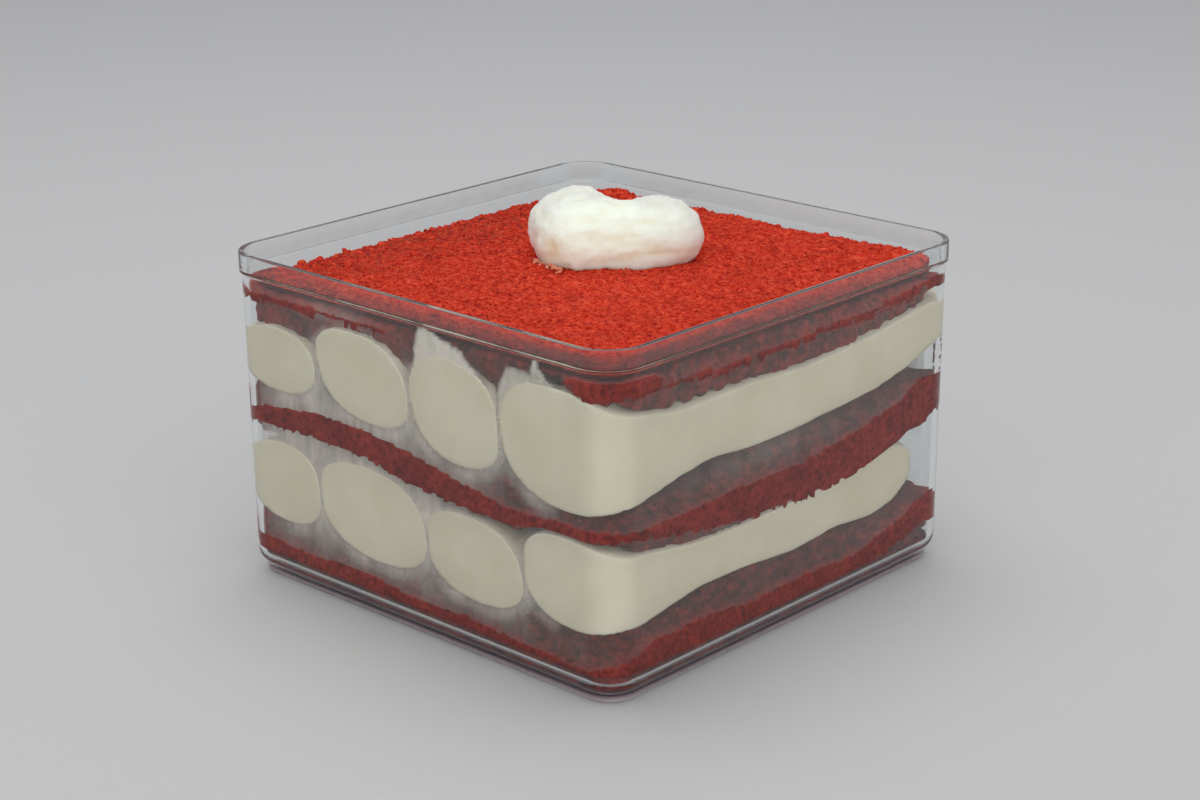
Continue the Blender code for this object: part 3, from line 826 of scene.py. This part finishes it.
bed_red = sponge_material("red_crumb_bed", *CRUMB_REDS, bed_shade, CRUMB_CLOUDY)
bed_mesh = even_mesh("crumb_layer", 0.6, 2)
spots, facing = points_of(bed_mesh)
upper_side = smooth_step((facing[:, 2] + 0.2) / 0.8)
grain_relief = 0.18 * relief(spots, 1.0, 3, 61) + 0.16 * relief(spots, 3.0, 2, 62)
spots += facing * (upper_side * grain_relief)[:, None]
put_points(bed_mesh, spots)
finish_piece("crumb_bed", bed_mesh, "crumb_layer", bed_red)


def grain_shape(parts):
    """Points and faces of one crumb, from an icosphere."""
    bm = bmesh.new()
    bmesh.ops.create_icosphere(bm, subdivisions=parts, radius=1.0)
    bm.verts.ensure_lookup_table()
    points = np.array([vert.co[:] for vert in bm.verts])
    faces = np.array([[vert.index for vert in face.verts] for face in bm.faces])
    bm.free()
    return points, faces


def scatter(name, places, sizes, parts, seed, material, squash=0.85):
    """One piece of many loose crumbs, each turned, stretched and dented in its own way."""
    rng = np.random.default_rng(seed)
    shape, faces = grain_shape(parts)
    count = len(places)
    turns = rng.normal(size=(count, 4))
    turns /= np.linalg.norm(turns, axis=1)[:, None]
    w, x, y, z = turns.T
    spin = np.array([
        [1 - 2 * (y * y + z * z), 2 * (x * y - z * w), 2 * (x * z + y * w)],
        [2 * (x * y + z * w), 1 - 2 * (x * x + z * z), 2 * (y * z - x * w)],
        [2 * (x * z - y * w), 2 * (y * z + x * w), 1 - 2 * (x * x + y * y)],
    ]).transpose(2, 0, 1)
    dents = 1.0 + rng.uniform(-0.28, 0.28, size=(count, len(shape), 1))
    stretch = rng.uniform(0.7, 1.25, size=(count, 1, 3))
    local = shape[None] * dents * stretch * (sizes[:, None, None] / 2.0)
    local = np.einsum("nij,nkj->nki", spin, local)
    local[:, :, 2] *= squash
    points = (local + places[:, None, :]).reshape(-1, 3)
    index = (faces[None] + (np.arange(count) * len(shape))[:, None, None]).reshape(-1, 3)
    mesh = bpy.data.meshes.new(name)
    mesh.vertices.add(len(points))
    mesh.vertices.foreach_set("co", (points * MM).ravel())
    mesh.loops.add(index.size)
    mesh.loops.foreach_set("vertex_index", index.ravel())
    mesh.polygons.add(len(index))
    mesh.polygons.foreach_set("loop_start", np.arange(0, index.size, 3))
    mesh.update(calc_edges=True)
    return finish_piece(name, mesh, None, material)


# Loose crumbs lie above this height, a little clear of the wall, round the bed's middle
LOOSE_LOW = 61.0
WALL_CLEAR = 0.9
BED_MIDDLE_X, BED_MIDDLE_Y = 1.0, -1.0
BED_HALF = 47.0


def bed_spots(count, seed, crowd_edges=0.0):
    """Seeded places on the crumb bed's upper side."""
    rng = np.random.default_rng(seed)
    points, normals = points_of(bed_mesh)
    weight = np.clip(normals[:, 2], 0.0, 1.0) * (points[:, 2] > LOOSE_LOW)
    weight *= wall_room(points)[0] > WALL_CLEAR
    off_middle = np.abs(points[:, :2] - (BED_MIDDLE_X, BED_MIDDLE_Y))
    edge = off_middle.max(axis=1) / BED_HALF
    weight = weight * (1.0 + crowd_edges * np.clip(edge - 0.9, 0.0, 1.0) * 10.0)
    chosen = rng.choice(len(points), size=count, replace=False, p=weight / weight.sum())
    jitter = rng.uniform(-0.3, 0.3, size=(count, 3)) * (1.0, 1.0, 0.0)
    return points[chosen] + jitter, rng


fine_places, rng = bed_spots(9800, 71)
scatter("crumbs_fine", fine_places, rng.uniform(0.4, 0.75, len(fine_places)), 1, 72, crumb_red)
dust_places, rng = bed_spots(9800, 77)
scatter("crumbs_dust", dust_places, rng.uniform(0.35, 0.65, len(dust_places)), 1, 78, crumb_red)
mid_places, rng = bed_spots(1700, 73, 1.0)
scatter("crumbs_medium", mid_places, rng.uniform(0.7, 1.0, len(mid_places)), 1, 74, crumb_red)
large_places, rng = bed_spots(120, 75, 8.0)
scatter("crumbs_large", large_places, rng.uniform(1.0, 1.7, len(large_places)), 2, 76, crumb_red)

# Heart of cream
# A heart piped in two strokes on the crumbs: two round lobes that meet in a groove behind, a blunt
# front that sits down into the crumbs, small dents and a fold low on its right.
heart_cream = cream_material(
    "heart_cream", (0.87, 0.885, 0.80), (0.83, 0.845, 0.75), depth=0.006, painted_hollow_shade=(0.80, 0.71, 0.52)
)
HEART_MIDDLE = (0.2, 5.6)
HEART_TURN = math.radians(42.99)
# The groove behind, between the two lobes, is narrow: place, half width and rise of what fills its sides
GROOVE_FILLS = ((-1.6, 1.5, 0.35), (3.4, 2.0, 0.6))
# Dents and rises on its front: side, height, half width, half height and how far out, in mm
HEART_MARKS = (
    (-12.4, 66.4, 1.7, 2.2, -0.9),
    (-13.0, 62.9, 2.2, 1.0, 0.6),
    (-6.0, 72.0, 2.2, 0.6, -0.18),
    (5.4, 71.6, 1.8, 0.7, -0.18),
    (1.5, 68.2, 2.6, 1.0, -0.15),
    (4.0, 63.4, 4.2, 0.5, 0.45),
    (9.5, 65.4, 4.0, 0.6, -0.45),
    (-3.0, 64.2, 4.5, 0.5, -0.35),
)
# The lobes' tops behind, where the groove runs, and the foot that sinks into the crumbs
CREST_LOW, CREST_RISE = 67.0, 5.0
CREST_FRONT, CREST_RUN = -7.0, 6.0
HEART_FOOT_Z = 64.0
HEART_SINK = 0.6
heart_mesh = even_mesh("cream_heart", 0.45, 5)
spots, facing = points_of(heart_mesh)
along = Vector((math.cos(HEART_TURN), math.sin(HEART_TURN)))
side = (spots[:, 0] - HEART_MIDDLE[0]) * along.x + (spots[:, 1] - HEART_MIDDLE[1]) * along.y
front = facing[:, 0] * along.y - facing[:, 1] * along.x
toward = smooth_step((front + 0.25) / 0.5)
streaks = relief(spots * (0.7, 0.7, 1.3), 3.2, 4, 81)
swell = 0.34 * streaks + 0.16 * relief(spots, 1.4, 3, 82)
# Painted shade: the dips of the streaks and the dents on the front are tinted tan
painted_hollow_shade = 0.5 * np.clip(-streaks - 0.1, 0.0, 1.0) * toward
for mark_side, mark_z, wide, high, out in HEART_MARKS:
    away = ((side - mark_side) / wide) ** 2 + ((spots[:, 2] - mark_z) / high) ** 2
    swell += out * np.exp(-away) * toward
    painted_hollow_shade += max(-out, 0.0) * np.exp(-away) * toward
groove = sum(rise * np.exp(-(((side - place) / half) ** 2)) for place, half, rise in GROOVE_FILLS)
behind = (spots[:, 1] - HEART_MIDDLE[1]) * along.x - (spots[:, 0] - HEART_MIDDLE[0]) * along.y
crest = smooth_step((spots[:, 2] - CREST_LOW) / CREST_RISE) * smooth_step((behind - CREST_FRONT) / CREST_RUN)
spots += facing * swell[:, None]
spots[:, 2] += groove * crest
spots[:, 2] -= HEART_SINK * smooth_step(HEART_FOOT_Z - spots[:, 2])
put_points(heart_mesh, spots)
set_shares(heart_mesh, "painted_hollow_shade", np.clip(painted_hollow_shade, 0.0, 0.9))
finish_piece("cream_heart_top", heart_mesh, "cream_heart", heart_cream)

# Stray crumbs
# A few crumbs of sponge cling to the wall at the right corner, dark with the sponge's painted shade, and
# crumbs wet with cream gather at the heart's foot, where the nozzle dragged through the bed.
STUCK_COUNT = 18
STUCK_LOW, STUCK_HIGH = 37.0, 46.5
rng = np.random.default_rng(91)
stuck_angle = np.radians(rng.uniform(18.0, 52.0, STUCK_COUNT))
stuck_z = rng.uniform(STUCK_LOW, STUCK_HIGH, STUCK_COUNT)
corner_middle = WALL_TOP_HALF - WALL - corner_of(WALL_TOP_HALF - WALL)
stuck_reach = corner_of(WALL_TOP_HALF - WALL) - 0.45
stuck_x = corner_middle + stuck_reach * np.cos(stuck_angle)
stuck_y = corner_middle + stuck_reach * np.sin(stuck_angle)
stuck_places = np.stack([stuck_x, stuck_y, stuck_z], axis=1)
# They have no pressed share, so the sponge's painted shade covers them all over
scatter("crumbs_stuck", stuck_places, rng.uniform(0.6, 1.3, STUCK_COUNT), 2, 92, sponge_red)

FOOT_START, FOOT_END = np.array((-8.2, -8.8, 63.0)), np.array((1.4, -10.8, 62.9))
WET_COUNT = 26
wet_share = rng.uniform(0.0, 1.0, (WET_COUNT, 1))
wet_places = FOOT_START + (FOOT_END - FOOT_START) * wet_share
wet_places += rng.uniform(-0.7, 0.7, (WET_COUNT, 3)) * (1.0, 1.0, 0.5)
wet_crumb = cream_material("crumb_in_cream", (0.90, 0.34, 0.22), (0.80, 0.16, 0.09))
scatter("crumbs_in_cream", wet_places, rng.uniform(0.5, 0.95, WET_COUNT), 2, 93, wet_crumb)

# Floor, light and camera
# A plain pale floor and the camera where the photo's stood. One soft lamp hangs overhead, a wide one
# lights the two near walls from the camera's side, and a narrow one lifts the front of the heart.
floor_bm = bmesh.new()
bmesh.ops.create_grid(floor_bm, x_segments=1, y_segments=1, size=12.0)
bmesh.ops.translate(floor_bm, verts=floor_bm.verts, vec=(0.0, 0.0, -0.0002))
floor_mesh = bpy.data.meshes.new("pale_floor")
floor_bm.to_mesh(floor_mesh)
floor_bm.free()
floor = bpy.data.objects.new("pale_floor", floor_mesh)
bpy.context.scene.collection.objects.link(floor)
floor_material, _, floor_shader = shader_tree("pale_floor")
floor_shader.inputs["Base Color"].default_value = (0.60, 0.60, 0.60, 1.0)
floor_shader.inputs["Roughness"].default_value = 0.7
floor_mesh.materials.append(floor_material)


def hang_lamp(name, lamp, place, aim):
    """An object for a lamp, put at one place and pointed at another."""
    holder = bpy.data.objects.new(name, lamp)
    bpy.context.scene.collection.objects.link(holder)
    holder.location = place
    holder.rotation_euler = (Vector(aim) - Vector(place)).to_track_quat("-Z", "Y").to_euler()
    return holder


def soft_lamp(name, place, aim, size, power):
    """A square soft light that points at a place."""
    lamp = bpy.data.lights.new(name, "AREA")
    lamp.shape = "SQUARE"
    lamp.size = size
    lamp.energy = power
    hang_lamp(name, lamp, place, aim)


soft_lamp("overhead", (-0.10, 0.05, 0.75), (0.0, 0.0, 0.05), 0.7, 2.2)
soft_lamp("front_fill", (0.75, -0.62, 0.34), (0.0, 0.0, 0.03), 1.8, 6.4)
heart_light = bpy.data.lights.new("heart_light", "SPOT")
heart_light.energy = 2.3
heart_light.color = (0.72, 1.0, 0.86)
heart_light.spot_size = math.radians(5.5)
heart_light.spot_blend = 1.0
heart_light.shadow_soft_size = 0.008
heart_lamp = hang_lamp("heart_light", heart_light, (0.30, -0.33, 0.125), (0.0, 0.0, 0.068))
# It leaves no glint on the rim, which the photo doesn't show
heart_lamp.visible_glossy = False
heart_lamp.visible_transmission = False
world = bpy.data.worlds.new("studio")
world.use_nodes = True
world.node_tree.nodes["Background"].inputs["Color"].default_value = (0.80, 0.81, 0.83, 1.0)
world.node_tree.nodes["Background"].inputs["Strength"].default_value = 0.60
bpy.context.scene.world = world
bpy.context.scene.view_settings.view_transform = "Standard"

CAMERA_PLACE = Vector((0.308848, -0.330229, 0.188857))
CAMERA_RIGHT = Vector((0.733091, 0.680092, -0.007215))
CAMERA_UP = Vector((-0.215628, 0.242466, 0.945894))
camera_data = bpy.data.cameras.new("camera")
camera_data.sensor_width = 36.0
camera_data.lens = 72.5
camera_data.clip_start = 0.01
camera = bpy.data.objects.new("camera", camera_data)
bpy.context.scene.collection.objects.link(camera)
camera_back = CAMERA_RIGHT.cross(CAMERA_UP)
camera_turn = Matrix((CAMERA_RIGHT, CAMERA_UP, camera_back)).transposed().to_4x4()
camera.matrix_world = Matrix.Translation(CAMERA_PLACE) @ camera_turn
bpy.context.scene.camera = camera
